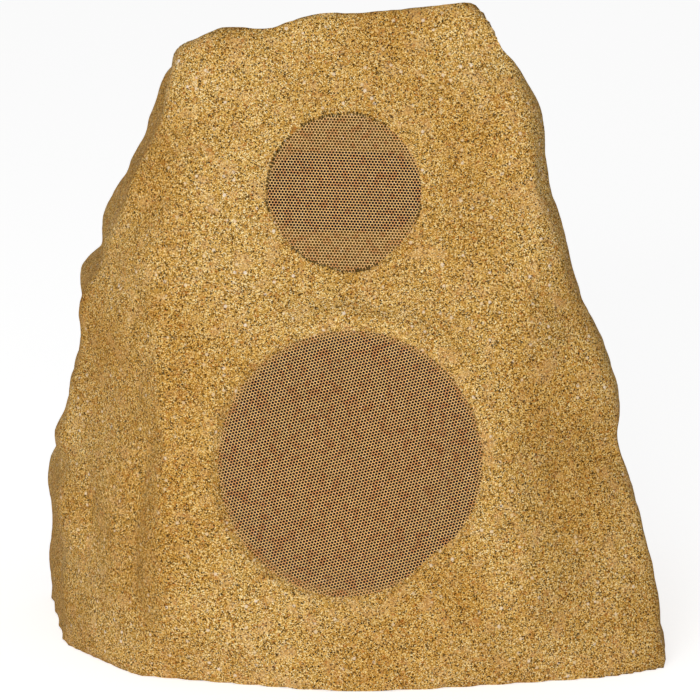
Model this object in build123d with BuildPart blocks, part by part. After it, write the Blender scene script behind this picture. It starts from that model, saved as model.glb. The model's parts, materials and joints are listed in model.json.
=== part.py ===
from build123d import *
import math
import os

os.makedirs("parts", exist_ok=True)

# Sizes are millimetres and angles are degrees. The front faces -Y and the ground is Z = 0.

# Rock: each facet has an azimuth from the front towards the right, a lean back from upright
# and a reach from the heart of the rock
HEART_X = 6.28
HEART_Y = -8.7
HEART_Z = 120.0
HEART = Vector(HEART_X, HEART_Y, HEART_Z)
FACETS = {
    "front_lower": (0, 8, 117),
    "front_upper": (0, 16, 119.9),
    "tuck_left": (-14, -16, 163),
    "tuck_right": (11, -9, 153.5),
    "front_right": (27, 9, 141.5),
    "right_lower": (97, 10.2, 131.7),
    "right_side": (97, 15.6, 130.1),
    "right_upper": (62, 17.5, 161),
    "right_shoulder": (80, 27, 174),
    "left_front": (-38, 19.5, 167),
    "left_corner": (-51, 4, 153.5),
    "left_lower": (-80, 1, 169),
    "left_side": (-88, 11, 163.5),
    "left_upper": (-85, 22, 170.5),
    "top_right": (-169, 69.7, 200),
    "top_left": (-146, 66, 198),
    "back": (182, 12, 112),
    "back_left": (-132, 9, 141),
    "back_right": (128, 13, 132),
    "back_upper": (170, 40, 150),
    "back_left_upper": (-125, 30, 164),
    "back_right_upper": (120, 33, 150),
}
EDGE_RADIUS = 8.0
WALL = 8.0

# Base: the plate closes the rock from below, against a seat inside the rim
BASE_SEAT = 10.0
RIM_WALL = 5.0
PLATE = 4.0
PLATE_FIT = 0.4
SEAL = 1.5
BASE_SCREWS = 4
BOSS_SIDE = 12.0
BOSS_HEIGHT = 18.0
BOSS_STEP = 4.5

# Screws
SHANK_RADIUS = 1.7
SHANK_GAP = 0.1
SCREW_CLEARANCE = 2.2
HEAD_RADIUS = 4.0
HEAD_HEIGHT = 2.5
BASE_BITE = 14.0
CORE_SPARE = 1.0

# Grilles: perforated sheet, sunk in a rebate by the thickness of the stone coat
LIP = 1.2
SHEET = 1.0
GRILLE_FIT = 0.3
HOLE_PITCH = 18.7
HOLE_RADIUS = 6.6
HOLE_MARGIN = 1.5

# Discs and rings inside the rock are drawn with flats, this many to a turn
ROUND_SIDES = 28

# Woofer: on the lower front facet, which carries a flat pad round it
WOOFER_SHIFT = -4.0
WOOFER_DROP = 15.9
FRAME_RADIUS = 86.0
FRAME_SIDES = 8
FRAME_GAP = 3.0
FRAME_LAP = 18.0
WOOFER_CUTOUT = FRAME_RADIUS - FRAME_LAP
REBATE_WIDTH = 4.5
WOOFER_OPENING = WOOFER_CUTOUT + REBATE_WIDTH
PAD_WIDTH = 7.5
PAD_RADIUS = WOOFER_OPENING + PAD_WIDTH
PAD_SPREAD = 10.0
PAD_DEPTH = 10.0
GASKET = 2.0
MOUTH_STEP = 7.0
FRAME_MOUTH = WOOFER_CUTOUT - MOUTH_STEP
FRAME_DEPTH = 38.0
FLANGE = 3.0
SHELF_RADIUS = 46.0
SHELF_WIDTH = 6.0
SHELF_RISE = 9.0
FLOOR = 3.0
FLOOR_HOLE = 22.0
SPOKES = 4
SPOKE_WIDTH = 12.0
SPOKE_DEPTH = 7.0
SPOKE_LAP = 1.5

# Woofer suspension and moving parts
GLUE_GAP = 0.3
SURROUND_LAP = 6.0
SURROUND_RISE = 5.0
ROLL_WIDTH = 8.0
CONE_RADIUS = FRAME_MOUTH - ROLL_WIDTH
CONE_DEPTH = 22.0
CONE_WALL = 1.4
CAP_RADIUS = 19.0
CAP_FLAT = 9.0
CAP_RISE = 5.0
COIL_RADIUS = 12.7
COIL_WALL = 0.9
COIL_LENGTH = 28.0
SPIDER_WALL = 0.8
SPIDER_LAP = 3.0

# Woofer motor
RUNNING_GAP = 0.5
TOP_PLATE_RADIUS = 36.0
MOTOR_PLATE = 5.0
MAGNET_RADIUS = 40.0
MAGNET_HOLE = 20.0
MAGNET_HEIGHT = 15.0
YOKE_RADIUS = 38.0
TAG_WIDTH = 18.0
TAG_HEIGHT = 8.0
TAG_WALL = 3.0

# Tweeters: a pair on one plate, behind a slot in the upper front facet
TWEETER_SHIFT = -7.0
TWEETER_RISE = 112.5
TWEETER_OPENING = 43.5
SLOT_LENGTH = 82.0
SLOT_HEIGHT = 43.0
TWEETER_PLATE_LENGTH = 108.0
TWEETER_PLATE_HEIGHT = 60.0
TWEETER_PLATE = 3.0
TWEETER_SPACING = 40.0
TWEETER_RADIUS = 16.0
TWEETER_DEPTH = 18.0
TWEETER_FIT = 0.1
DIAPHRAGM_RADIUS = 13.0
DIAPHRAGM_FLAT = 5.0
DIAPHRAGM_RISE = 4.0

# Crossover: a board on supports above the base plate
BOARD_Y = 16.0
BOARD_LENGTH = 120.0
BOARD_WIDTH = 84.0
BOARD = 1.6
SUPPORT_HEIGHT = 8.0
SUPPORT_SIDE = 7.0
SUPPORT_INSET = 6.0
CHOKE_SPACING = 76.0
CHOKE_Y = -12.0
CHOKE_WIDTH = 22.0
CHOKE_HEIGHT = 22.0
CORE_LENGTH = 34.0
CORE_WIDTH = 10.0
CAPACITOR_SPACING = 84.0
CAPACITOR_Y = 12.0
CAPACITOR_LENGTH = 26.0
CAPACITOR_WIDTH = 12.0
CAPACITOR_HEIGHT = 20.0
RESISTOR_SPACING = 84.0
RESISTOR_Y = 29.0
RESISTOR_LENGTH = 22.0
RESISTOR_SIDE = 9.0
TERMINAL_Y = 32.0
TERMINAL_LENGTH = 24.0
TERMINAL_WIDTH = 12.0
TERMINAL_HEIGHT = 14.0
TERMINAL_CHAMFER = 5.0

# Leads: flat twin wire, bent in upright planes between the board and the drivers
LEAD_WIDTH = 5.0
LEAD_THICKNESS = 2.5
LEAD_BEND = 9.0
WOOFER_TAP = -34.0
TWEETER_TAP = 20.0
LEAD_RUN = 24.0

# Cable gland, low on the back facet
GLAND_SHIFT = 0.0
GLAND_DROP = 96.0
GLAND_BORE = 4.0
GLAND_STUB = 7.7
GLAND_FIT = 0.3
GLAND_HEX = 11.5
GLAND_COLLAR = 5.0
LOCKNUT_HEX = 13.0
LOCKNUT = 5.0
STUB_SPARE = 3.0
CAP_SKIRT = 12.0
CAP_NOSE = 5.0
CAP_TAPER = 35.0

# Damping pad, on the inside of the back facet
DAMPING_WIDTH = 100.0
DAMPING_HEIGHT = 120.0
DAMPING_DEPTH = 25.0
DAMPING_SHIFT = 18.0
DAMPING_RISE = 12.0


def facet_plane(name, inset=0.0):
    """A facet's plane, moved in by inset: x runs level, y up the slope and z outwards."""
    azimuth, lean, reach = FACETS[name]
    swing = math.radians(azimuth)
    tilt = math.radians(lean)
    outwards = Vector(
        math.sin(swing) * math.cos(tilt), -math.cos(swing) * math.cos(tilt), math.sin(tilt)
    )
    level = Vector(math.cos(swing), math.sin(swing), 0)
    return Plane(origin=HEART + outwards * (reach - inset), x_dir=level, z_dir=outwards)


def moved_on(plane, x, y):
    """The same plane with its origin moved to a point on it."""
    return Plane(origin=plane.from_local_coords((x, y, 0)), x_dir=plane.x_dir, z_dir=plane.z_dir)


def faceted_block(inset, bottom):
    """The rock as flat facets only, each moved in by inset, on a level bottom."""
    blank = 4 * max(reach for azimuth, lean, reach in FACETS.values())
    with BuildPart() as block:
        with Locations((HEART.X, HEART.Y, bottom)):
            Box(blank, blank, blank, align=(Align.CENTER, Align.CENTER, Align.MIN))
        for name in FACETS:
            split(bisect_by=facet_plane(name, inset), keep=Keep.BOTTOM)
    return block.part


def seat_outline(inset):
    """Corners of the rock's outline at the base seat, moved in by inset, in order round it."""
    corners = faceted_block(inset, BASE_SEAT).faces().sort_by(Axis.Z)[0].vertices()
    return sorted(((v.X, v.Y) for v in corners), key=lambda p: math.atan2(p[1], p[0]))


def boss_places(count):
    """Centres of the screw bosses, beside the walls met in evenly spread directions."""
    corners = [Vector(*corner) for corner in seat_outline(WALL)]
    places = []
    for index in range(count):
        towards = Vector(1, 0).rotate(Axis.Z, (index + 0.5) * 360 / count)
        nearest = None
        for start, end in zip(corners, corners[1:] + corners[:1]):
            outwards = (end - start).cross(Vector(0, 0, 1)).normalized()
            if outwards.dot(towards) > 0:
                meeting = towards * (outwards.dot(start) / outwards.dot(towards))
                if nearest is None or meeting.length < nearest.length:
                    nearest = meeting
                    place = meeting - outwards * BOSS_STEP
        places.append((place.X, place.Y))
    return places


def perforation(radius):
    """Centres of staggered holes that fit inside a circle."""
    limit = radius - HOLE_RADIUS - HOLE_MARGIN
    row_pitch = HOLE_PITCH * math.sqrt(3) / 2
    reach = math.ceil(limit / row_pitch)
    lattice = [
        (HOLE_PITCH * (column + (row % 2) / 2), row_pitch * row)
        for row in range(-reach, reach + 1)
        for column in range(-reach - 1, reach + 1)
    ]
    return [point for point in lattice if math.hypot(*point) <= limit]


def axial_plane(plane, angle=0):
    """A plane through an axis: x is the radius at angle and y runs outwards along the axis."""
    radial = plane.x_dir.rotate(Axis((0, 0, 0), plane.z_dir), angle)
    return Plane(origin=plane.origin, x_dir=radial, z_dir=radial.cross(plane.z_dir))


def turn(plane, outline, mode=Mode.ADD):
    """Revolve an outline of (radius, height) points about a plane's normal."""
    with BuildSketch(axial_plane(plane)) as profile:
        with BuildLine():
            Polyline(*outline, close=True)
        make_face()
    revolve(profile.sketch, axis=Axis(plane.origin, plane.z_dir), mode=mode)


def turn_ring(plane, inner, outer, back, front, mode=Mode.ADD):
    """Revolve a plain ring, or a disc where inner is 0."""
    turn(plane, [(inner, back), (outer, back), (outer, front), (inner, front)], mode)


def flat_ring(plane, inner, outer, back, front, mode=Mode.ADD):
    """A ring with flats between two heights, or a disc where inner is 0."""
    with BuildSketch(plane.offset(back)) as section:
        RegularPolygon(outer, ROUND_SIDES)
        if inner > 0:
            RegularPolygon(inner, ROUND_SIDES, mode=Mode.SUBTRACT)
    extrude(section.sketch, amount=front - back, mode=mode)


def flat_taper(plane, back_radius, back, front_radius, front, mode=Mode.ADD):
    """A tapered disc with flats between two heights, closed from plane faces."""
    angles = [2.0 * math.pi * k / ROUND_SIDES for k in range(ROUND_SIDES)]
    rear, fore = (
        [
            plane.from_local_coords(Vector(radius * math.cos(a), radius * math.sin(a), height))
            for a in angles
        ]
        for radius, height in ((back_radius, back), (front_radius, front))
    )
    faces = [Face(Wire.make_polygon(rear)), Face(Wire.make_polygon(fore))]
    for k in range(ROUND_SIDES):
        faces.append(Face(Wire.make_polygon([rear[k - 1], rear[k], fore[k], fore[k - 1]])))
    add(Solid(Shell(faces)), mode=mode)


def drive_screws(seat, centres, length):
    """Hexagon head screws: the heads stand on the seat plane and the shanks run in behind it."""
    with BuildSketch(seat) as heads:
        with Locations(*centres):
            RegularPolygon(HEAD_RADIUS, 6)
    extrude(heads.sketch, amount=HEAD_HEIGHT)
    with BuildSketch(seat) as shanks:
        with Locations(*centres):
            Circle(SHANK_RADIUS)
    extrude(shanks.sketch, amount=-length)


def keep(piece, name):
    """Label a finished piece and write it."""
    piece.part.label = name
    export_step(piece.part, f"parts/{name}.step")


# Where the drivers and the gland sit on the rock's facets
woofer = moved_on(facet_plane("front_lower"), WOOFER_SHIFT, -WOOFER_DROP)
tweeter = moved_on(facet_plane("front_upper"), TWEETER_SHIFT, TWEETER_RISE)
gland = moved_on(facet_plane("back"), GLAND_SHIFT, -GLAND_DROP)

# Heights along the woofer's axis, from the face of the rock inwards
rebate = LIP + SHEET
flange_front = -WALL - GASKET
flange_back = flange_front - FLANGE
frame_floor = flange_back - FRAME_DEPTH
shelf_top = frame_floor + SHELF_RISE
top_plate_back = frame_floor - MOTOR_PLATE
magnet_back = top_plate_back - MAGNET_HEIGHT
yoke_back = magnet_back - MOTOR_PLATE

# Levels of the base and the board
plate_top = BASE_SEAT - SEAL
plate_bottom = plate_top - PLATE
board_bottom = plate_top + SUPPORT_HEIGHT
board_top = board_bottom + BOARD

# Outlines and screw places that the rock shares with what seats in it
pocket_outline = seat_outline(RIM_WALL)
plate_outline = seat_outline(RIM_WALL + PLATE_FIT)
seal_inside = seat_outline(WALL)
boss_centres = boss_places(BASE_SCREWS)
rock_core = faceted_block(EDGE_RADIUS, -2 * EDGE_RADIUS)
cavity = faceted_block(WALL, BASE_SEAT)

# Rock shell: facets with rounded edges, hollow, open below
with BuildPart() as rock_shell:
    add(rock_core)
    offset(amount=EDGE_RADIUS, kind=Kind.ARC)
    split(bisect_by=Plane.XY, keep=Keep.TOP)
    pad_foot = PAD_RADIUS + PAD_SPREAD
    turn(woofer, [(0, 0), (PAD_RADIUS, 0), (pad_foot, -PAD_DEPTH), (0, -PAD_DEPTH)])
    add(cavity, mode=Mode.SUBTRACT)
    with BuildSketch(Plane.XY.offset(BASE_SEAT)):
        with Locations(*boss_centres):
            Rectangle(BOSS_SIDE, BOSS_SIDE)
    extrude(amount=BOSS_HEIGHT)
    core_side = 2 * (SHANK_RADIUS + SHANK_GAP)
    with BuildSketch(Plane.XY.offset(BASE_SEAT)):
        with Locations(*boss_centres):
            Rectangle(core_side, core_side)
    extrude(amount=BASE_BITE + CORE_SPARE, mode=Mode.SUBTRACT)
    with BuildSketch(Plane.XY):
        with BuildLine():
            Polyline(*pocket_outline, close=True)
        make_face()
    extrude(amount=BASE_SEAT, mode=Mode.SUBTRACT)
    frame_pocket = flange_back - FLANGE
    with BuildSketch(woofer.offset(-WALL)):
        RegularPolygon(FRAME_RADIUS + FRAME_GAP, FRAME_SIDES)
    extrude(amount=frame_pocket + WALL, mode=Mode.SUBTRACT)
    turn_ring(woofer, 0, WOOFER_CUTOUT, frame_pocket, -rebate, Mode.SUBTRACT)
    turn_ring(woofer, 0, WOOFER_OPENING, -rebate, LIP, Mode.SUBTRACT)
    turn_ring(tweeter, 0, TWEETER_OPENING, -rebate, LIP, Mode.SUBTRACT)
    with BuildSketch(tweeter.offset(-rebate)):
        SlotOverall(SLOT_LENGTH, SLOT_HEIGHT)
    extrude(amount=-WALL, mode=Mode.SUBTRACT)
    turn_ring(gland, 0, GLAND_STUB + GLAND_FIT, -WALL - GLAND_FIT, GLAND_FIT, Mode.SUBTRACT)
keep(rock_shell, "rock_shell")

# Base plate, pushed up into the rim
with BuildPart() as base_plate:
    with BuildSketch(Plane.XY.offset(plate_bottom)):
        with BuildLine():
            Polyline(*plate_outline, close=True)
        make_face()
        with Locations(*boss_centres):
            Circle(SCREW_CLEARANCE, mode=Mode.SUBTRACT)
    extrude(amount=PLATE)
keep(base_plate, "base_plate")

# Base seal, a flat ring between the plate and the seat
with BuildPart() as base_seal:
    with BuildSketch(Plane.XY.offset(plate_top)):
        with BuildLine():
            Polyline(*plate_outline, close=True)
        make_face()
        with BuildLine():
            Polyline(*seal_inside, close=True)
        make_face(mode=Mode.SUBTRACT)
    extrude(amount=SEAL)
keep(base_seal, "base_seal")

# Base screws, driven up through the plate into the bosses
with BuildPart() as base_screws:
    under_plate = Plane(origin=(0, 0, plate_bottom), x_dir=(1, 0, 0), z_dir=(0, 0, -1))
    drive_screws(under_plate, [(x, -y) for x, y in boss_centres], PLATE + SEAL + BASE_BITE)
keep(base_screws, "base_screws")

# Grilles: perforated discs in the rebates
for name, axis_plane, opening in (
    ("woofer_grille", woofer, WOOFER_OPENING),
    ("tweeter_grille", tweeter, TWEETER_OPENING),
):
    with BuildPart() as grille:
        with BuildSketch(axis_plane.offset(-LIP)):
            Circle(opening - GRILLE_FIT)
            with Locations(*perforation(opening)):
                RegularPolygon(HOLE_RADIUS, 6, mode=Mode.SUBTRACT)
        extrude(amount=-SHEET)
    keep(grille, name)

# Woofer gasket, between the rock's wall and the frame
with BuildPart() as woofer_gasket:
    with BuildSketch(woofer.offset(-WALL)):
        RegularPolygon(FRAME_RADIUS, FRAME_SIDES)
        RegularPolygon(WOOFER_CUTOUT, ROUND_SIDES, mode=Mode.SUBTRACT)
    extrude(amount=-GASKET)
keep(woofer_gasket, "woofer_gasket")

# Woofer frame: flange, spokes, spider shelf and floor
with BuildPart() as woofer_frame:
    with BuildSketch(woofer.offset(flange_front)):
        RegularPolygon(FRAME_RADIUS, FRAME_SIDES)
        RegularPolygon(FRAME_MOUTH, ROUND_SIDES, mode=Mode.SUBTRACT)
    extrude(amount=-FLANGE)
    shelf_inside = SHELF_RADIUS - SHELF_WIDTH
    flat_ring(woofer, FLOOR_HOLE, SHELF_RADIUS, frame_floor, frame_floor + FLOOR)
    flat_ring(woofer, shelf_inside, SHELF_RADIUS, frame_floor, shelf_top)
    spoke_top = FRAME_MOUTH + SPOKE_LAP
    spoke_root = SHELF_RADIUS - SPOKE_LAP
    for index in range(SPOKES):
        with BuildSketch(axial_plane(woofer, (index + 0.5) * 360 / SPOKES)):
            with BuildLine():
                Polyline(
                    (spoke_top, flange_back),
                    (spoke_top + SPOKE_DEPTH, flange_back),
                    (spoke_root, frame_floor),
                    (spoke_root, shelf_top),
                    close=True,
                )
            make_face()
        extrude(amount=SPOKE_WIDTH / 2, both=True)
keep(woofer_frame, "woofer_frame")

# Woofer terminals, a tag strip on the underside of the spider shelf's rim
tag_plane = moved_on(woofer.offset(frame_floor + TAG_HEIGHT / 2), 0, -SHELF_RADIUS - GLUE_GAP)
with BuildPart() as woofer_terminals:
    with BuildSketch(tag_plane):
        Rectangle(TAG_WIDTH, TAG_WALL, align=(Align.CENTER, Align.MAX))
    extrude(amount=TAG_HEIGHT / 2, both=True)
keep(woofer_terminals, "woofer_terminals")

# Woofer surround, a soft roll from the flange to the rim of the cone
with BuildPart() as woofer_surround:
    roll_top = flange_front + SURROUND_RISE
    flat_taper(woofer, FRAME_MOUTH + SURROUND_LAP, flange_front, FRAME_MOUTH, roll_top)
    lap_inside = CONE_RADIUS - SURROUND_LAP / 2
    flat_taper(woofer, lap_inside, flange_front, CONE_RADIUS, roll_top, Mode.SUBTRACT)
keep(woofer_surround, "woofer_surround")

# Woofer cone
cone_top = flange_front - GLUE_GAP
neck_radius = COIL_RADIUS + COIL_WALL + GLUE_GAP
cone_foot = cone_top - CONE_DEPTH
cone_inside = CONE_RADIUS - CONE_WALL
with BuildPart() as woofer_cone:
    flat_taper(woofer, neck_radius + CONE_WALL, cone_foot, CONE_RADIUS, cone_top)
    flat_taper(woofer, neck_radius, cone_foot, cone_inside, cone_top, Mode.SUBTRACT)
keep(woofer_cone, "woofer_cone")

# Woofer dust cap, a shallow cap with a flat top, on the cone
cone_slope = CONE_DEPTH / (cone_inside - neck_radius)
cap_foot = cone_foot + (CAP_RADIUS - neck_radius) * cone_slope + GLUE_GAP
with BuildPart() as woofer_dust_cap:
    flat_taper(woofer, CAP_RADIUS, cap_foot, CAP_FLAT, cap_foot + CAP_RISE)
keep(woofer_dust_cap, "woofer_dust_cap")

# Voice coil, on its former from the cone's neck into the motor's gap
coil_foot = cone_foot - COIL_LENGTH
with BuildPart() as woofer_voice_coil:
    flat_ring(woofer, COIL_RADIUS, COIL_RADIUS + COIL_WALL, coil_foot, cone_foot)
keep(woofer_voice_coil, "woofer_voice_coil")

# Spider, a flat cloth ring from the shelf to the coil
with BuildPart() as woofer_spider:
    spider_rim = shelf_inside + SPIDER_LAP
    flat_ring(woofer, neck_radius, spider_rim, shelf_top, shelf_top + SPIDER_WALL)
keep(woofer_spider, "woofer_spider")

# Woofer motor: top plate, magnet and a yoke with its pole
gap_outside = COIL_RADIUS + COIL_WALL + RUNNING_GAP
with BuildPart() as woofer_top_plate:
    flat_ring(woofer, gap_outside, TOP_PLATE_RADIUS, top_plate_back, frame_floor)
keep(woofer_top_plate, "woofer_top_plate")

with BuildPart() as woofer_magnet:
    flat_ring(woofer, MAGNET_HOLE, MAGNET_RADIUS, magnet_back, top_plate_back)
keep(woofer_magnet, "woofer_magnet")

with BuildPart() as woofer_yoke:
    flat_ring(woofer, 0, YOKE_RADIUS, yoke_back, magnet_back)
    flat_ring(woofer, 0, COIL_RADIUS - RUNNING_GAP, magnet_back, frame_floor)
keep(woofer_yoke, "woofer_yoke")

# Tweeter plate, bonded behind the slot, with a socket for each tweeter
tweeter_places = [(-TWEETER_SPACING / 2, 0), (TWEETER_SPACING / 2, 0)]
with BuildPart() as tweeter_plate:
    with BuildSketch(tweeter.offset(-WALL)):
        Rectangle(TWEETER_PLATE_LENGTH, TWEETER_PLATE_HEIGHT)
        with Locations(*tweeter_places):
            RegularPolygon(TWEETER_RADIUS + TWEETER_FIT, ROUND_SIDES, mode=Mode.SUBTRACT)
    extrude(amount=-TWEETER_PLATE)
keep(tweeter_plate, "tweeter_plate")

# Left and right tweeters, as seen from the front, with the lead to each
motor_front = -WALL
motor_back = motor_front - TWEETER_DEPTH
for side, place in zip(("left", "right"), tweeter_places):
    unit = moved_on(tweeter, *place)
    with BuildPart() as tweeter_diaphragm:
        crown = motor_front + DIAPHRAGM_RISE
        flat_taper(unit, DIAPHRAGM_RADIUS, motor_front, DIAPHRAGM_FLAT, crown)
    keep(tweeter_diaphragm, f"{side}_tweeter_diaphragm")

    with BuildPart() as tweeter_motor:
        flat_ring(unit, 0, TWEETER_RADIUS, motor_back, motor_front)
    keep(tweeter_motor, f"{side}_tweeter_motor")

    start = unit.offset(motor_back).origin
    inwards = -unit.z_dir
    upright = Plane(origin=(start.X, 0, 0), x_dir=(0, 1, 0), z_dir=(1, 0, 0))
    elbow = start + inwards * LEAD_RUN
    with BuildPart() as tweeter_lead:
        with BuildLine(upright) as route:
            FilletPolyline(
                (start.Y, start.Z),
                (elbow.Y, elbow.Z),
                (BOARD_Y + TWEETER_TAP, elbow.Z - (BOARD_Y + TWEETER_TAP - elbow.Y)),
                (BOARD_Y + TWEETER_TAP, board_top),
                radius=LEAD_BEND,
            )
        with BuildSketch(Plane(origin=start, x_dir=(1, 0, 0), z_dir=inwards)):
            Rectangle(LEAD_WIDTH, LEAD_THICKNESS)
        sweep(path=route.wires()[0])
    keep(tweeter_lead, f"{side}_tweeter_lead")

# Crossover board and its supports
board_plane = moved_on(Plane.XY.offset(board_bottom), woofer.origin.X, BOARD_Y)
with BuildPart() as crossover_board:
    with BuildSketch(board_plane):
        Rectangle(BOARD_LENGTH, BOARD_WIDTH)
    extrude(amount=BOARD)
keep(crossover_board, "crossover_board")

with BuildPart() as board_supports:
    with BuildSketch(board_plane):
        with GridLocations(BOARD_LENGTH - 2 * SUPPORT_INSET, BOARD_WIDTH - 2 * SUPPORT_INSET, 2, 2):
            Rectangle(SUPPORT_SIDE, SUPPORT_SIDE)
    extrude(amount=-SUPPORT_HEIGHT)
keep(board_supports, "board_supports")

# Crossover parts: two of each, one for each channel
on_board = board_plane.offset(BOARD)
with BuildPart() as crossover_chokes:
    with BuildSketch(moved_on(on_board, 0, CHOKE_Y)):
        with GridLocations(CHOKE_SPACING, 0, 2, 1):
            Rectangle(CHOKE_WIDTH, CHOKE_WIDTH)
    extrude(amount=CHOKE_HEIGHT)
    with BuildSketch(moved_on(on_board.offset((CHOKE_HEIGHT - CORE_WIDTH) / 2), 0, CHOKE_Y)):
        with GridLocations(CHOKE_SPACING, 0, 2, 1):
            Rectangle(CORE_LENGTH, CORE_WIDTH)
    extrude(amount=CORE_WIDTH)
keep(crossover_chokes, "crossover_chokes")

with BuildPart() as crossover_capacitors:
    with BuildSketch(moved_on(on_board, 0, CAPACITOR_Y)):
        with GridLocations(CAPACITOR_SPACING, 0, 2, 1):
            Rectangle(CAPACITOR_LENGTH, CAPACITOR_WIDTH)
    extrude(amount=CAPACITOR_HEIGHT)
keep(crossover_capacitors, "crossover_capacitors")

with BuildPart() as crossover_resistors:
    with BuildSketch(moved_on(on_board, 0, RESISTOR_Y)):
        with GridLocations(RESISTOR_SPACING, 0, 2, 1):
            Rectangle(RESISTOR_LENGTH, RESISTOR_SIDE)
    extrude(amount=RESISTOR_SIDE)
keep(crossover_resistors, "crossover_resistors")

with BuildPart() as input_terminals:
    with BuildSketch(moved_on(on_board, 0, TERMINAL_Y)):
        Rectangle(TERMINAL_LENGTH, TERMINAL_WIDTH)
    extrude(amount=TERMINAL_HEIGHT)
    top_edges = input_terminals.faces().sort_by(Axis.Z)[-1].edges()
    chamfer(top_edges.sort_by(Axis.Y)[-1], TERMINAL_CHAMFER)
keep(input_terminals, "input_terminals")

# Woofer lead, from the tag strip down and back to the board
tag_foot = tag_plane.from_local_coords((0, -TAG_WALL, 0))
down_slope = -woofer.y_dir
bend = tag_foot + down_slope * LEAD_RUN
tap_y = BOARD_Y + WOOFER_TAP
upright = Plane(origin=(tag_foot.X, 0, 0), x_dir=(0, 1, 0), z_dir=(1, 0, 0))
with BuildPart() as woofer_lead:
    with BuildLine(upright) as route:
        FilletPolyline(
            (tag_foot.Y, tag_foot.Z),
            (bend.Y, bend.Z),
            (tap_y, bend.Z),
            (tap_y, board_top),
            radius=LEAD_BEND,
        )
    with BuildSketch(Plane(origin=tag_foot, x_dir=(1, 0, 0), z_dir=down_slope)):
        Rectangle(LEAD_WIDTH, LEAD_THICKNESS)
    sweep(path=route.wires()[0])
keep(woofer_lead, "woofer_lead")

# Cable gland: collar outside with a stub through the wall, locknut inside, cap on the collar
stub_back = -WALL - LOCKNUT - STUB_SPARE
with BuildPart() as gland_body:
    with BuildSketch(gland):
        RegularPolygon(GLAND_HEX, 6)
    extrude(amount=GLAND_COLLAR)
    turn_ring(gland, 0, GLAND_STUB, stub_back, GLAND_COLLAR)
    turn_ring(gland, 0, GLAND_BORE, stub_back, GLAND_COLLAR, Mode.SUBTRACT)
keep(gland_body, "gland_body")

with BuildPart() as gland_locknut:
    with BuildSketch(gland.offset(-WALL)):
        RegularPolygon(LOCKNUT_HEX, 6)
        RegularPolygon(GLAND_STUB + GLAND_FIT, ROUND_SIDES, mode=Mode.SUBTRACT)
    extrude(amount=-LOCKNUT)
keep(gland_locknut, "gland_locknut")

skirt_front = GLAND_COLLAR + CAP_SKIRT
nose_front = skirt_front + CAP_NOSE
with BuildPart() as gland_cap:
    with BuildSketch(gland.offset(GLAND_COLLAR)):
        RegularPolygon(GLAND_HEX, 6)
    extrude(amount=CAP_SKIRT)
    with BuildSketch(gland.offset(skirt_front)):
        RegularPolygon(GLAND_HEX, 6)
    extrude(amount=CAP_NOSE, taper=CAP_TAPER)
    turn_ring(gland, 0, GLAND_BORE, GLAND_COLLAR, nose_front, Mode.SUBTRACT)
keep(gland_cap, "gland_cap")

# Damping pad
with BuildPart() as damping_pad:
    with BuildSketch(moved_on(facet_plane("back", WALL), DAMPING_SHIFT, DAMPING_RISE)):
        Rectangle(DAMPING_WIDTH, DAMPING_HEIGHT)
    extrude(amount=-DAMPING_DEPTH)
keep(damping_pad, "damping_pad")
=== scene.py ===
import json
import math

import bmesh
import bpy
import numpy as np
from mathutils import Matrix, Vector, noise


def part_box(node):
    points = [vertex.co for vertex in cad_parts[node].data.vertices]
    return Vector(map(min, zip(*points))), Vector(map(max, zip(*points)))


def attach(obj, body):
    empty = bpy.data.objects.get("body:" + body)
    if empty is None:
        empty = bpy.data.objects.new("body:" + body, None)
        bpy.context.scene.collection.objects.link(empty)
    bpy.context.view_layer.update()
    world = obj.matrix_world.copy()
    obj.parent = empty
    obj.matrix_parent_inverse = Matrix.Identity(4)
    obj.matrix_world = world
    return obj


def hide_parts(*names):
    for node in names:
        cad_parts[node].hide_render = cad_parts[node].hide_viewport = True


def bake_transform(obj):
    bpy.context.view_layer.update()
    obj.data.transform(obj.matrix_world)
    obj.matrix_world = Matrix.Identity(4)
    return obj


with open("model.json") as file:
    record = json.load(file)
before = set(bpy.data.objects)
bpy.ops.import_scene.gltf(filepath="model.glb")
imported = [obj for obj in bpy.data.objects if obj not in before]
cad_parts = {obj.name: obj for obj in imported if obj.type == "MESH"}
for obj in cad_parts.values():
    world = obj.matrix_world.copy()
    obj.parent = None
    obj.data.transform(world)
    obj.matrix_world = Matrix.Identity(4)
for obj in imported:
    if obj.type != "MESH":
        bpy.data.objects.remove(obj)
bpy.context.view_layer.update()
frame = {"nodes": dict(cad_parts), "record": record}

MM = 0.001
CABINET = "cabinet"
NODES = frame["nodes"]

# Grilles: perforated sheet under the edge of the stone coat
COAT = 1.2 * MM
SHEET = 1.0 * MM
DISC_FIT = 0.3 * MM
WOOFER_CUTOUT = 68.0 * MM
HOLE_PITCH = 1.68 * MM
HOLE_RADIUS = 0.78 * MM
WOOFER_SHEET_TURN = math.radians(15.0)
TWEETER_SHEET_TURN = math.radians(-2.0)
PLAIN_RIM = 0.4 * MM
WOOFER_OPENING = 69.8 * MM
TWEETER_OPENING = 40.4 * MM
CUTOUT_BACK = -12.0 * MM
CABLE_HOLE = 8.0 * MM
OPENING_FRONT = 6.0 * MM
EDGE_FLARE = 1.2
EDGE_STEPS = 640

# Rock: smooth facets first, then the relief of the cast stone
ROCK_GRID = 116
HOLLOW_GRID = 40
HOLLOW_DEPTH = 2.0 * MM
BELOW_GROUND = 5.0 * MM
LEAST_FACET = 500.0 * MM * MM
EDGE_SHARPNESS = 0.7 / MM
RIM_SHARPNESS = 2.2 / MM
PAD_RADIUS = 80.0 * MM
PAD_SLOPE = math.radians(45.0)
PAD_DEPTH = 10.0 * MM
PAD_SHARPNESS = 0.35 / MM
SOLVE_STEPS = 34
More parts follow.
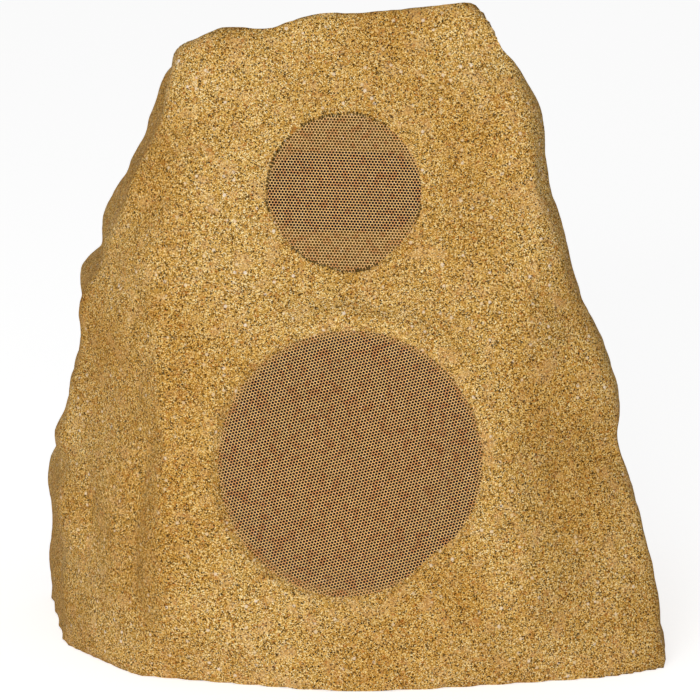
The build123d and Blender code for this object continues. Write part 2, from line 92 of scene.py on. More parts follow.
# Wavelength and height of each layer of relief
WAVES = (
    (75.0 * MM, 2.0 * MM),
    (28.0 * MM, 1.5 * MM),
    (11.0 * MM, 0.7 * MM),
    (5.0 * MM, 0.3 * MM),
)
# Broken lumps with creases between them, strongest away from the front
LUMP_SIZE = 52.0 * MM
LUMP_HEIGHT = 3.4 * MM
LUMP_FRONT_SHARE = 0.4
# Where the relief dies away round each sheet and the gland: inner and outer radius
WOOFER_CALM = (72.0 * MM, 92.0 * MM)
TWEETER_CALM = (45.0 * MM, 62.0 * MM)
GLAND_CALM = (17.0 * MM, 30.0 * MM)
GROUND_CALM = (0.2 * MM, 5.0 * MM)
# Swells and dents of the outline: place, spread and height, in millimetres
SWELLS = (
    ((100, -65, 303), (30, 45, 16), 4.5),
    ((86, -70, 336), (14, 30, 8), -4.0),
    ((75, -67, 350), (12, 20, 8), 3.0),
    ((129, -80, 200), (30, 45, 10), -2.2),
    ((141, -83, 158), (30, 45, 14), 1.8),
    ((149, -92, 124), (30, 45, 9), -4.5),
    ((157, -96, 90), (30, 45, 10), 1.8),
    ((166, -98, 45), (30, 45, 20), 3.8),
    ((173, -99, 9), (25, 30, 5), 2.0),
    ((-104, -25, 300), (30, 50, 10), -2.4),
    ((-116, -12, 270), (30, 50, 8), 1.4),
    ((-129, -3, 241), (30, 50, 12), 1.2),
    ((-141, 11, 216), (30, 50, 6), -5.5),
    ((-146, 0, 199), (30, 50, 9), 2.6),
    ((-149, -40, 170), (30, 50, 11), -3.0),
    ((-158, -38, 132), (30, 60, 9), -4.5),
    ((-161, -30, 110), (30, 50, 5), 2.0),
    ((-164, -10, 104), (30, 50, 7), -2.0),
    ((-167, 0, 82), (30, 50, 10), 2.0),
    ((-171, 18, 40), (30, 50, 12), -2.8),
    ((-85, -62, 336), (20, 25, 10), 4.2),
    ((-50, -66, 346), (20, 30, 8), -1.0),
)

# Stone coat
GRAIN = 0.46 * MM
STONE_GLINT = 0.15
# Specular level of the slots darkened with painted shade
SHADED_PART_GLINT = 0.1

# Woofer's flexible parts, in radius and height on the woofer's axis
SURROUND_LINE = 9.6 * MM
SURROUND_INSIDE = 50.2 * MM
ROLL_INSIDE = 53.0 * MM
ROLL_OUTSIDE = 61.0 * MM
SURROUND_OUTSIDE = 66.8 * MM
ROLL_RISE = 4.2 * MM
SURROUND_WALL = 0.7 * MM
SPIDER_LINE = 41.6 * MM
SPIDER_INSIDE = 13.9 * MM
SPIDER_OUTSIDE = 42.8 * MM
SPIDER_LAND = 3.5 * MM
SPIDER_WALL = 0.5 * MM
RIPPLE_PITCH = 4.6 * MM
RIPPLE_HEIGHT = 1.0 * MM
LINE_STEPS = 61

# Fleece pad on the inside of the back
FLEECE_VOXEL = 5.0 * MM
FLEECE_INSET = 2.6 * MM
FLEECE_PRESSURE = 4.0
FLEECE_FRAMES = 20
FLEECE_CAP = 2.4 * MM
FLEECE_NAP = 0.5 * MM
FLEECE_NAP_SIZE = 7.0 * MM

# Finish of each slot: pattern, its size and bump in millimetres, darkest share, roughness, metallic
FINISHES = {
    "base_plastic": ("moulded", 0.9, 0.06, 0.70, 0.62, 0.0),
    "seal_rubber": ("moulded", 1.6, 0.12, 0.55, 0.85, 0.0),
    "screw_steel": ("drawn", 0.5, 0.02, 0.72, 0.34, 1.0),
    "frame_steel": ("moulded", 0.6, 0.04, 0.65, 0.50, 0.0),
    "surround_rubber": ("moulded", 0.5, 0.03, 0.70, 0.58, 0.0),
    "cone_paper": ("felted", 1.4, 0.10, 0.55, 0.88, 0.0),
    "coil_metal": ("drawn", 0.4, 0.05, 0.60, 0.36, 1.0),
    "spider_cloth": ("felted", 0.9, 0.08, 0.62, 0.90, 0.0),
    "motor_steel": ("drawn", 0.7, 0.03, 0.74, 0.38, 1.0),
    "magnet_ferrite": ("moulded", 0.7, 0.05, 0.60, 0.72, 0.0),
    "driver_plastic": ("moulded", 0.7, 0.05, 0.68, 0.55, 0.0),
    "diaphragm_film": ("drawn", 0.8, 0.01, 0.80, 0.60, 0.0),
    "board_laminate": ("felted", 0.8, 0.03, 0.70, 0.48, 0.0),
    "component_case": ("moulded", 0.8, 0.04, 0.66, 0.44, 0.0),
    "terminal_plastic": ("moulded", 0.6, 0.03, 0.70, 0.42, 0.0),
    "tag_board": ("felted", 0.7, 0.04, 0.60, 0.80, 0.0),
    "lead_sheath": ("moulded", 0.5, 0.02, 0.72, 0.46, 0.0),
    "gland_nylon": ("moulded", 0.6, 0.05, 0.68, 0.52, 0.0),
    "resistor_ceramic": ("moulded", 0.5, 0.04, 0.82, 0.78, 0.0),
    "damping_fleece": ("felted", 2.2, 0.60, 0.60, 0.95, 0.0),
}
# Painted shade: the drivers are coloured blacker than their slots' plain colours, so the perforations
# show only dark, as the shade inside the closed rock
PAINTED_SHADE_SHARE = {
    "cone_paper": 0.15,
    "surround_rubber": 0.5,
    "frame_steel": 0.25,
    "driver_plastic": 0.25,
    "diaphragm_film": 0.03,
    "seal_rubber": 0.5,
}
# Ways in which felted fibres and drawn marks run
FELT_WAYS = ((1.0, 0.2, 0.9), (0.25, 1.0, 0.8), (0.9, 0.8, 0.2))
DRAWN_WAYS = ((1.0, 1.0, 0.05), (0.06, 1.0, 1.0))
EVEN_WAY = ((1.0, 1.0, 1.0),)
# Moulded and machined edges that are broken a little
EDGE_BREAK = {
    "base_plate": 0.5,
    "base_seal": 0.4,
    "base_screws": 0.2,
    "woofer_gasket": 0.4,
    "gland_body": 0.3,
    "gland_cap": 0.4,
    "gland_locknut": 0.3,
}

# Camera: straight in front of the rock, a little above it
PHOTO_SIDE = 700
CAMERA_RISE = math.radians(13.0)
CAMERA_DISTANCE = 1.6
PIXEL = 0.53 * MM
AIM = Vector((2.08, -106.2, 177.9)) * MM
SENSOR = 36.0

# Light
FILL_LEVEL = 0.35
FLOOR_LIFT = 0.65
KEY_POWER = 45.0
KEY_SIZE = 1.4
KEY_PLACE = Vector((-0.5, -2.2, 0.2))


class Seat:
    """A place on the rock: x runs level, y up the slope and z outwards."""

    def __init__(self, origin, outwards):
        self.z = Vector(outwards).normalized()
        self.x = Vector((0.0, 0.0, 1.0)).cross(self.z).normalized()
        self.y = self.z.cross(self.x)
        self.origin = Vector(origin)
        self.axes = np.array([self.x, self.y, self.z])

    def place(self, points):
        """Points given in the seat's own directions, in the row frame."""
        return np.asarray(points, float) @ self.axes + np.array(self.origin)

    def local(self, points):
        """Points of the row frame, in the seat's own directions."""
        return (np.asarray(points, float) - np.array(self.origin)) @ self.axes.T


def middle(name):
    low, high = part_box(name)
    return (low + high) / 2


def face_towards(name, rough_direction):
    """Mean normal of the faces of a solid that look roughly one way."""
    total = Vector()
    for face in NODES[name].data.polygons:
        if face.normal.dot(rough_direction) > 0.9:
            total += face.normal * face.area
    return total.normalized()


def grille_seat(name):
    """The face of the rock over a grille, on the grille's axis."""
    outwards = face_towards(name, Vector((0.0, -1.0, 0.2)).normalized())
    return Seat(middle(name) + outwards * (COAT + SHEET / 2), outwards)


def disc_radius(name):
    low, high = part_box(name)
    return (high.x - low.x) / 2


WOOFER = grille_seat("woofer_grille")
TWEETER = grille_seat("tweeter_grille")
gland_axis = face_towards("gland_body", Vector((0.0, 1.0, 0.2)).normalized())
GLAND = Seat(middle("gland_locknut"), gland_axis)


# Mesh helpers


def new_object(name, mesh):
    thing = bpy.data.objects.new(name, mesh)
    bpy.context.scene.collection.objects.link(thing)
    return thing


def mesh_piece(name, points, faces):
    mesh = bpy.data.meshes.new(name)
    mesh.from_pydata([tuple(p) for p in points], [], faces)
    mesh.validate()
    return new_object(name, mesh)


def evaluated_mesh(thing):
    """The mesh with its modifiers worked in."""
    graph = bpy.context.evaluated_depsgraph_get()
    return bpy.data.meshes.new_from_object(thing.evaluated_get(graph))


def bake_modifiers(thing):
    mesh = evaluated_mesh(thing)
    thing.modifiers.clear()
    old = thing.data
    thing.data = mesh
    bpy.data.meshes.remove(old)
    return thing


def combine(thing, cutter, operation):
    """Join or cut with another closed mesh, which is then removed."""
    modifier = thing.modifiers.new(operation.lower(), "BOOLEAN")
    modifier.operation = operation
    modifier.solver = "MANIFOLD"
    modifier.object = cutter
    bake_modifiers(thing)
    bpy.data.objects.remove(cutter)
    return thing


def welded_copy(name, node):
    """A closed copy of a solid, whose triangles come loose."""
    copy = new_object(name, NODES[node].data.copy())
    shape = bmesh.new()
    shape.from_mesh(copy.data)
    bmesh.ops.remove_doubles(shape, verts=shape.verts, dist=0.002 * MM)
    shape.to_mesh(copy.data)
    shape.free()
    return copy


def prism(name, seat, outline, back, front, flare=1.0):
    """A closed prism on an outline of (x, y) points of a seat, widened by flare at its front."""
    count = len(outline)
    points = [(x, y, back) for x, y in outline]
    points += [(x * flare, y * flare, front) for x, y in outline]
    faces = [tuple(reversed(range(count))), tuple(range(count, 2 * count))]
    for k in range(count):
        after = (k + 1) % count
        faces.append((k, after, count + after, count + k))
    return mesh_piece(name, seat.place(points), faces)


def circle(radius, steps=96):
    angles = np.arange(steps) * 2 * math.pi / steps
    return list(zip(radius * np.cos(angles), radius * np.sin(angles)))


def lathe(name, seat, profile, steps=96):
    """A closed ring turned about a seat's axis from a closed (radius, height) outline."""
    rows = len(profile)
    points = []
    faces = []
    for step in range(steps):
        angle = 2 * math.pi * step / steps
        points += [(r * math.cos(angle), r * math.sin(angle), h) for r, h in profile]
        here = step * rows
        there = (step + 1) % steps * rows
        for k in range(rows):
            after = (k + 1) % rows
            faces.append((here + k, there + k, there + after, here + after))
    thing = mesh_piece(name, seat.place(points), faces)
    shape = bmesh.new()
    shape.from_mesh(thing.data)
    bmesh.ops.remove_doubles(shape, verts=shape.verts, dist=0.001 * MM)
    bmesh.ops.recalc_face_normals(shape, faces=shape.faces)
    shape.to_mesh(thing.data)
    shape.free()
    return thing


def mesh_points(mesh):
    points = np.empty(len(mesh.vertices) * 3)
    mesh.vertices.foreach_get("co", points)
    return points.reshape(-1, 3)


def smooth_shade(thing, sharp_angle=math.radians(40.0)):
    thing.data.shade_smooth()
    thing.data.set_sharp_from_angle(angle=sharp_angle)
    return thing


# Rock


def read_facets(name):
    """Outward normals and offsets of the large flat faces on the outside of a solid."""
    mesh = NODES[name].data
    count = len(mesh.polygons)
    normals = np.empty(count * 3)
    centres = np.empty(count * 3)
    areas = np.empty(count)
    mesh.polygons.foreach_get("normal", normals)
    mesh.polygons.foreach_get("center", centres)
    mesh.polygons.foreach_get("area", areas)
    normals = normals.reshape(-1, 3)
    centres = centres.reshape(-1, 3)
    heart = np.array(middle(name))
    outward = ((centres - heart) * normals).sum(1) > 0.06
    outward &= normals[:, 2] > -0.5
    found = {}
    for normal, centre, area in zip(normals[outward], centres[outward], areas[outward]):
        key = tuple(np.round(normal, 2))
        offset = float(normal @ centre)
        known = found.setdefault(key, [0.0, offset, normal])
        known[0] += area
        if offset > known[1]:
            known[1:] = offset, normal
    large = [entry for entry in found.values() if entry[0] > LEAST_FACET]
    return np.array([entry[2] for entry in large]), np.array([entry[1] for entry in large])


def soft_max(values, sharpness):
    """The greatest of the columns, rounded where two come close."""
    peak = values.max(axis=1)
    spread = np.exp(sharpness * (values - peak[:, None])).sum(axis=1)
    return peak + np.log(spread) / sharpness


def outside_rock(points, facets, inset, bottom, with_pad):
    """How far points are outside the rock without its relief, negative inside."""
    normals, offsets = facets
    block = soft_max(points @ normals.T - offsets, EDGE_SHARPNESS) + inset
    if with_pad:
        x, y, height = WOOFER.local(points).T
        skirt = (np.hypot(x, y) - PAD_RADIUS) * math.sin(PAD_SLOPE) + height * math.cos(PAD_SLOPE)
        back = -height - PAD_DEPTH
        pad = soft_max(np.stack([skirt, height, back], axis=1), EDGE_SHARPNESS)
        block = -soft_max(np.stack([-block, -pad], axis=1), PAD_SHARPNESS)
    return soft_max(np.stack([block, bottom - points[:, 2]], axis=1), RIM_SHARPNESS)


def facing_grid(cuts):
    """An even grid of directions in every way, as a cube blown up to a ball."""
    shape = bmesh.new()
    bmesh.ops.create_cube(shape, size=2.0)
    bmesh.ops.subdivide_edges(shape, edges=shape.edges[:], cuts=cuts - 1, use_grid_fill=True)
    points = np.array([v.co for v in shape.verts])
    points = np.tan(points * math.pi / 4)
    faces = [tuple(v.index for v in f.verts) for f in shape.faces]
    shape.free()
    return points / np.linalg.norm(points, axis=1)[:, None], faces


def rock_skin(cuts, facets, inset, bottom, with_pad):
    """Points and faces of the rock's smooth skin, met by rays from its middle."""
    heart = np.array(middle("rock_shell"))
    rays, faces = facing_grid(cuts)
    near = np.zeros(len(rays))
    far = np.full(len(rays), 0.4)
    for step in range(SOLVE_STEPS):
        reach = (near + far) / 2
        out = outside_rock(heart + rays * reach[:, None], facets, inset, bottom, with_pad) > 0
        far = np.where(out, reach, far)
        near = np.where(out, near, reach)
    return heart + rays * near[:, None], faces


def skin_normals(points, facets):
    """Outward directions of the smooth skin."""
    step = 0.2 * MM
    slope = np.empty_like(points)
    for axis in range(3):
        shift = np.zeros(3)
        shift[axis] = step
        slope[:, axis] = outside_rock(points + shift, facets, 0.0, 0.0, True)
        slope[:, axis] -= outside_rock(points - shift, facets, 0.0, 0.0, True)
    return slope / np.linalg.norm(slope, axis=1)[:, None]


def smooth_step(values, low, high):
    share = np.clip((values - low) / (high - low), 0.0, 1.0)
    return share * share * (3.0 - 2.0 * share)


def seat_distance(seat, points):
    """Distance of points from a seat's axis."""
    x, y, height = seat.local(points).T
    return np.hypot(x, y)


def waves(points, wavelength, away):
    """Smooth random values between -1 and 1 at each point."""
    return np.array([noise.noise(Vector(p) / wavelength + Vector(away)) for p in points])


def relief(points, normals):
    """How far the cast stone stands out of its smooth skin."""
    height = np.zeros(len(points))
    for index, (wavelength, amplitude) in enumerate(WAVES):
        height += amplitude * waves(points, wavelength, (3.7 * index, 1.3, 5.1 * index))
    sideways = smooth_step(normals[:, 1], -0.95, -0.6)
    lump_share = LUMP_FRONT_SHARE + (1.0 - LUMP_FRONT_SHARE) * sideways
    lumps = np.abs(waves(points, LUMP_SIZE, (7.0, 2.0, 4.0))) * 2.0 - 0.5
    height += LUMP_HEIGHT * lump_share * lumps
    for place, spread, rise in SWELLS:
        away = (points / MM - np.array(place)) / np.array(spread)
        height += rise * MM * np.exp(-0.5 * (away**2).sum(axis=1))
    woofer_near = 1.0 - smooth_step(seat_distance(WOOFER, points), *WOOFER_CALM)
    woofer_near *= points[:, 1] < 0
    tweeter_near = 1.0 - smooth_step(seat_distance(TWEETER, points), *TWEETER_CALM)
    tweeter_near *= points[:, 1] < 0
    height *= 1.0 - 0.8 * np.maximum(woofer_near, tweeter_near)
    gland_near = 1.0 - smooth_step(seat_distance(GLAND, points), *GLAND_CALM)
    gland_near *= points[:, 1] > 0
    height *= 1.0 - gland_near
    return height * smooth_step(points[:, 2], *GROUND_CALM)


def ragged_opening(radius, waver, seed):
    """Outline of the coat's edge round a grille, uneven as trowelled stone is."""
    outline = []
    for step in range(EDGE_STEPS):
        angle = 2 * math.pi * step / EDGE_STEPS
        way = Vector((math.cos(angle), math.sin(angle), seed))
        edge = radius + waver(angle)
        edge += 0.7 * MM * noise.noise(way * 3.0) + 0.5 * MM * noise.noise(way * 14.0)
        edge += 0.5 * MM * noise.noise(way * 45.0) + 0.5 * MM * noise.noise(way * 95.0)
        outline.append((edge * math.cos(angle), edge * math.sin(angle)))
    return outline


def woofer_waver(angle):
    """Wider above and below, with a flat at the lower right."""
    wide = 1.0 * MM * math.sin(angle) ** 2
    flat = -5.4 * MM * math.exp(-((angle - math.radians(311.0)) / 0.36) ** 2)
    return wide + flat


def tweeter_waver(angle):
    """A lobe hangs down at the bottom, a little to the right."""
    return 3.0 * MM * math.exp(-((angle - math.radians(282.0)) / 0.32) ** 2)


def make_rock():
    facets = read_facets("rock_shell")
    points, faces = rock_skin(ROCK_GRID, facets, 0.0, 0.0, True)
    normals = skin_normals(points, facets)
    points = points + normals * relief(points, normals)[:, None]
    rock = mesh_piece("rock", points, faces)
    hollow_points, hollow_faces = rock_skin(
        HOLLOW_GRID, facets, HOLLOW_DEPTH, -BELOW_GROUND, False
    )
    hollow = mesh_piece("hollow", hollow_points, hollow_faces)
    combine(hollow, welded_copy("shell_copy", "rock_shell"), "DIFFERENCE")
    combine(rock, hollow, "DIFFERENCE")
    bed_front = -COAT + 0.05 * MM
    bed_back = -COAT - SHEET
    for seat, node, radius, waver, seed in (
        (WOOFER, "woofer_grille", WOOFER_OPENING, woofer_waver, 2.0),
        (TWEETER, "tweeter_grille", TWEETER_OPENING, tweeter_waver, 9.0),
    ):
        bed = circle(disc_radius(node) + DISC_FIT)
        combine(rock, prism("bed", seat, bed, bed_back, bed_front), "DIFFERENCE")
        opening = ragged_opening(radius, waver, seed)
        flare = 1.0 + EDGE_FLARE * (OPENING_FRONT + COAT) / radius
        cutter = prism("opening", seat, opening, -COAT, OPENING_FRONT, flare)
        combine(rock, cutter, "DIFFERENCE")
    cutout = circle(WOOFER_CUTOUT)
    combine(rock, prism("cutout", WOOFER, cutout, CUTOUT_BACK, -COAT), "DIFFERENCE")
    hole = circle(CABLE_HOLE)
    combine(rock, prism("cable_hole", GLAND, hole, -1.0 * MM, 20.0 * MM), "DIFFERENCE")
    return smooth_shade(rock)


def shade_beds(rock):
    """Give the rebate floors behind the sheets their own, darker finish of painted shade."""
    count = len(rock.data.polygons)
    centres = np.empty(count * 3)
    rock.data.polygons.foreach_get("center", centres)
    finish = np.zeros(count, dtype=np.int32)
    for seat, node in ((WOOFER, "woofer_grille"), (TWEETER, "tweeter_grille")):
        x, y, height = seat.local(centres.reshape(-1, 3)).T
        inside = np.hypot(x, y) < disc_radius(node) + DISC_FIT
        inside &= (height < -0.5 * COAT) & (height > -COAT - SHEET - 0.2 * MM)
        finish[inside] = 1
    rock.data.polygons.foreach_set("material_index", finish)


# Woofer's flexible parts and the fleece


def ribbon(line, thickness):
    """Closed outline of a thin wall whose middle follows (radius, height) points."""
    line = np.array(line)
    along = np.gradient(line, axis=0)
    along /= np.linalg.norm(along, axis=1)[:, None]
    aside = np.stack([-along[:, 1], along[:, 0]], axis=1) * thickness / 2
    return np.concatenate([line + aside, (line - aside)[::-1]])


def surround_ring():
    """Half-roll rubber edge between the cone and the basket."""
    radii = np.linspace(SURROUND_INSIDE, SURROUND_OUTSIDE, LINE_STEPS)
    along = np.clip((radii - ROLL_INSIDE) / (ROLL_OUTSIDE - ROLL_INSIDE), 0.0, 1.0)
    heights = ROLL_RISE * np.sin(math.pi * along) - SURROUND_LINE
    outline = ribbon(np.stack([radii, heights], axis=1), SURROUND_WALL)
    return smooth_shade(lathe("surround_roll", WOOFER, outline))


def spider_ring():
    """Rippled cloth disc that centres the coil."""
    radii = np.linspace(SPIDER_INSIDE, SPIDER_OUTSIDE, LINE_STEPS)
    swing = smooth_step(radii, SPIDER_INSIDE, SPIDER_INSIDE + SPIDER_LAND)
    swing *= 1.0 - smooth_step(radii, SPIDER_OUTSIDE - 2 * SPIDER_LAND, SPIDER_OUTSIDE - SPIDER_LAND)
    ripple = np.sin(2 * math.pi * (radii - SPIDER_INSIDE) / RIPPLE_PITCH)
    heights = RIPPLE_HEIGHT * swing * ripple - SPIDER_LINE
    outline = ribbon(np.stack([radii, heights], axis=1), SPIDER_WALL)
    return smooth_shade(lathe("spider_disc", WOOFER, outline))


def flex(piece):
    """Bake a ring's placement into its mesh and find each point's distance from the woofer's axis;
    nothing is done with the distances.
    """
    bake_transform(piece)
    points = mesh_points(piece.data)
    reach = seat_distance(WOOFER, points)


def fleece_pad():
    """Fleece swollen by cloth simulation, flat where it is glued to the rock."""
    pad = welded_copy("fleece_pad", "damping_pad")
    heart = np.array(middle("damping_pad"))
    points = mesh_points(pad.data)
    normals = np.array([v.normal for v in pad.data.vertices])
    pad.data.vertices.foreach_set("co", (points - normals * FLEECE_INSET * math.sqrt(3)).ravel())
    largest = max(pad.data.polygons, key=lambda face: (face.area, face.normal.y))
    glued_way = np.array(largest.normal) * (1.0 if largest.normal.y > 0 else -1.0)
    remesh = pad.modifiers.new("even_skin", "REMESH")
    remesh.mode = "VOXEL"
    remesh.voxel_size = FLEECE_VOXEL
    bake_modifiers(pad)
    rest = mesh_points(pad.data)
    cloth = pad.modifiers.new("swell", "CLOTH")
    cloth.settings.use_pressure = True
    cloth.settings.uniform_pressure_force = FLEECE_PRESSURE
    cloth.settings.effector_weights.gravity = 0.0
    cloth.point_cache.frame_end = FLEECE_FRAMES
    for number in range(1, FLEECE_FRAMES + 1):
        bpy.context.scene.frame_set(number)
    swollen = evaluated_mesh(pad)
    moves = mesh_points(swollen) - rest
    bpy.data.meshes.remove(swollen)
    pad.modifiers.clear()
    bpy.context.scene.frame_set(1)
    lengths = np.linalg.norm(moves, axis=1)
    moves *= np.minimum(1.0, FLEECE_CAP / np.maximum(lengths, 1e-9))[:, None]
    depth = (rest - heart) @ glued_way
    moves[depth > depth.max() - FLEECE_VOXEL / 2] = 0.0
    pad.data.vertices.foreach_set("co", (rest + moves).ravel())
    finer = pad.modifiers.new("finer", "SUBSURF")
    finer.levels = 1
    finer.render_levels = 1
    bake_modifiers(pad)
    points = mesh_points(pad.data)
    normals = np.array([v.normal for v in pad.data.vertices])
    nap = FLEECE_NAP * waves(points, FLEECE_NAP_SIZE, (1.0, 6.0, 2.0))
    pad.data.vertices.foreach_set("co", (points + normals * nap[:, None]).ravel())
    pad.data.update()
    return smooth_shade(pad)


# Node helpers


def add_node(tree, kind, inputs=None, **settings):
    node = tree.nodes.new(kind)
    for key, value in settings.items():
        setattr(node, key, value)
    for key, value in (inputs or {}).items():
        if isinstance(value, bpy.types.NodeSocket):
            tree.links.new(value, node.inputs[key])
        else:
            node.inputs[key].default_value = value
    return node


def maths(tree, operation, *values):
    return add_node(tree, "ShaderNodeMath", dict(enumerate(values)), operation=operation).outputs[0]


# Perforated sheet


def lattice_tree():
    """Geometry nodes that fill a disc with a sheet of staggered six-sided holes."""
    tree = bpy.data.node_groups.new("perforated_sheet", "GeometryNodeTree")
    face = tree.interface
    face.new_socket("Geometry", in_out="INPUT", socket_type="NodeSocketGeometry")
    for name in ("Radius", "Pitch", "Thickness"):
        face.new_socket(name, in_out="INPUT", socket_type="NodeSocketFloat")
    face.new_socket("Material", in_out="INPUT", socket_type="NodeSocketMaterial")
    face.new_socket("Geometry", in_out="OUTPUT", socket_type="NodeSocketGeometry")
    given = add_node(tree, "NodeGroupInput").outputs
    step_up = maths(tree, "MULTIPLY", given["Pitch"], math.sqrt(3) / 2)
    reach = maths(tree, "DIVIDE", given["Radius"], step_up)
    rows = maths(tree, "ADD", maths(tree, "CEIL", reach), 1.0)
    across = maths(tree, "ADD", maths(tree, "MULTIPLY", rows, 2.0), 1.0)
    width = maths(tree, "MULTIPLY", maths(tree, "MULTIPLY", rows, 2.0), given["Pitch"])
    height = maths(tree, "MULTIPLY", maths(tree, "MULTIPLY", rows, 2.0), step_up)
    grid = add_node(
        tree,
        "GeometryNodeMeshGrid",
        {"Size X": width, "Size Y": height, "Vertices X": across, "Vertices Y": across},
    ).outputs["Mesh"]
    place = add_node(tree, "GeometryNodeInputPosition").outputs[0]
    parts = add_node(tree, "ShaderNodeSeparateXYZ", {0: place}).outputs
    row = maths(tree, "ROUND", maths(tree, "DIVIDE", parts["Y"], step_up))
    odd = maths(tree, "FLOORED_MODULO", row, 2.0)
    slide = maths(tree, "MULTIPLY", odd, maths(tree, "MULTIPLY", given["Pitch"], 0.5))
    shift = add_node(tree, "ShaderNodeCombineXYZ", {"X": slide}).outputs[0]
    staggered = add_node(
        tree, "GeometryNodeSetPosition", {"Geometry": grid, "Offset": shift}
    ).outputs[0]
    far = add_node(tree, "ShaderNodeVectorMath", {0: place}, operation="LENGTH").outputs["Value"]
    outside = add_node(
        tree, "FunctionNodeCompare", {"A": far, "B": given["Radius"]}, operation="GREATER_THAN"
    ).outputs[0]
    kept = add_node(
        tree, "GeometryNodeDeleteGeometry", {"Geometry": staggered, "Selection": outside}
    ).outputs[0]
    spread = add_node(
        tree, "GeometryNodeInstanceOnPoints", {"Points": kept, "Instance": given["Geometry"]}
    ).outputs[0]
    real = add_node(tree, "GeometryNodeRealizeInstances", {"Geometry": spread}).outputs[0]
    sheet = add_node(
        tree, "GeometryNodeMergeByDistance", {"Geometry": real, "Distance": 0.02 * MM}
    ).outputs[0]
    down = maths(tree, "MULTIPLY", given["Thickness"], -1.0)
    walls = add_node(
        tree,
        "GeometryNodeExtrudeMesh",
        {"Mesh": sheet, "Offset": (0.0, 0.0, 1.0), "Offset Scale": down, "Individual": False},
    ).outputs[0]
    front = add_node(tree, "GeometryNodeFlipFaces", {"Mesh": walls}).outputs[0]
    both = add_node(tree, "GeometryNodeJoinGeometry").inputs[0]
    tree.links.new(front, both)
    tree.links.new(sheet, both)
    closed = add_node(
        tree, "GeometryNodeMergeByDistance", {"Geometry": both.node.outputs[0], "Distance": 0.02 * MM}
    ).outputs[0]
    dressed = add_node(
        tree, "GeometryNodeSetMaterial", {"Geometry": closed, "Material": given["Material"]}
    ).outputs[0]
    add_node(tree, "NodeGroupOutput", {"Geometry": dressed})
    return tree


def hole_surround():
    """One repeat of the sheet: three bridges and two corners between six-sided holes."""
    def corner(centre, index):
        angle = math.radians(30.0 + 60.0 * index)
        x = centre[0] + HOLE_RADIUS * math.cos(angle)
        y = centre[1] + HOLE_RADIUS * math.sin(angle)
        return (x, y, 0.0)

    here = (0.0, 0.0)
    right = (HOLE_PITCH, 0.0)
    upper_right = (HOLE_PITCH / 2, HOLE_PITCH * math.sqrt(3) / 2)
    upper_left = (-HOLE_PITCH / 2, HOLE_PITCH * math.sqrt(3) / 2)
    quads = [
        [corner(here, 5), corner(right, 3), corner(right, 2), corner(here, 0)],
        [corner(here, 0), corner(upper_right, 4), corner(upper_right, 3), corner(here, 1)],
        [corner(here, 1), corner(upper_left, 5), corner(upper_left, 4), corner(here, 2)],
        [corner(here, 0), corner(right, 2), corner(upper_right, 4)],
        [corner(here, 1), corner(upper_right, 3), corner(upper_left, 5)],
    ]
    points = []
    faces = []
    for quad in quads:
        faces.append(tuple(range(len(points), len(points) + len(quad))))
        points += quad
    return mesh_piece("hole_surround", points, faces)


def perforated_disc(name, seat, radius, turn, tree, material):
    sheet = hole_surround()
    sheet.name = name
    modifier = sheet.modifiers.new("perforations", "NODES")
    modifier.node_group = tree
    values = {"Radius": radius, "Pitch": HOLE_PITCH, "Thickness": SHEET, "Material": material}
    for item in tree.interface.items_tree:
        if item.in_out == "INPUT" and item.name in values:
            modifier[item.identifier] = values[item.name]
    bake_modifiers(sheet)
    x, y, z = mesh_points(sheet.data).T
    turned = np.stack(
        [
            x * math.cos(turn) - y * math.sin(turn),
            x * math.sin(turn) + y * math.cos(turn),
            z - COAT,
        ],
        axis=1,
    )
    sheet.data.vertices.foreach_set("co", seat.place(turned).ravel())
    sheet.data.update()
    return sheet


# Finishes


def linear(red, green, blue):
    """A colour written in screen levels, 0 to 255."""
    levels = []
    for level in (red, green, blue):
        share = level / 255.0
        levels.append(share / 12.92 if share <= 0.04045 else ((share + 0.055) / 1.055) ** 2.4)
    return (*levels, 1.0)


def new_finish(name, roughness=0.8, metallic=0.0):
    material = bpy.data.materials.new(name)
    material.use_nodes = True
    shader = material.node_tree.nodes["Principled BSDF"]
    shader.inputs["Roughness"].default_value = roughness
    shader.inputs["Metallic"].default_value = metallic
    return material, material.node_tree, shader


def colour_mix(tree, share, first, second, blend="MIX"):
    node = add_node(tree, "ShaderNodeMix", data_type="RGBA", blend_type=blend)
    for socket, value in ((node.inputs[0], share), (node.inputs[6], first), (node.inputs[7], second)):
        if isinstance(value, bpy.types.NodeSocket):
            tree.links.new(value, socket)
        else:
            socket.default_value = value
    return node.outputs[2]


def ramp(tree, share, stops, interpolation="LINEAR"):
    node = add_node(tree, "ShaderNodeValToRGB", {"Fac": share})
    node.color_ramp.interpolation = interpolation
    elements = node.color_ramp.elements
    while len(elements) < len(stops):
        elements.new(0.5)
    for element, (position, colour) in zip(elements, stops):
        element.position = position
        element.color = colour
    return node.outputs["Color"]


def cells(tree, place, size):
    """Random tones, and distances from the middle, of grains of one size."""
    node = add_node(tree, "ShaderNodeTexVoronoi", {"Vector": place, "Scale": 1.0 / size})
    tones = add_node(tree, "ShaderNodeSeparateColor", {"Color": node.outputs["Color"]}).outputs
    return tones, node.outputs["Distance"]


def cloud(tree, place, size, detail=2.0):
    return add_node(
        tree, "ShaderNodeTexNoise", {"Vector": place, "Scale": 1.0 / size, "Detail": detail}
    ).outputs["Fac"]


def band(tree, value, low, high):
    """0 below low and 1 above high, or the other way round where low is the higher."""
    return add_node(
        tree,
        "ShaderNodeMapRange",
        {"Value": value, "From Min": low, "From Max": high},
        interpolation_type="SMOOTHSTEP",
    ).outputs[0]


def spots(tree, place, size, share, radius, tone="Red"):
    """Scattered spots: one cell in some holds one, of this radius in cells, each of its own depth."""
    tones, from_middle = cells(tree, place, size)
    chosen = band(tree, tones[tone], 1.0 - share, 1.02 - share)
    inside = band(tree, from_middle, radius * 1.25, radius * 0.6)
    return maths(tree, "MULTIPLY", chosen, inside), tones


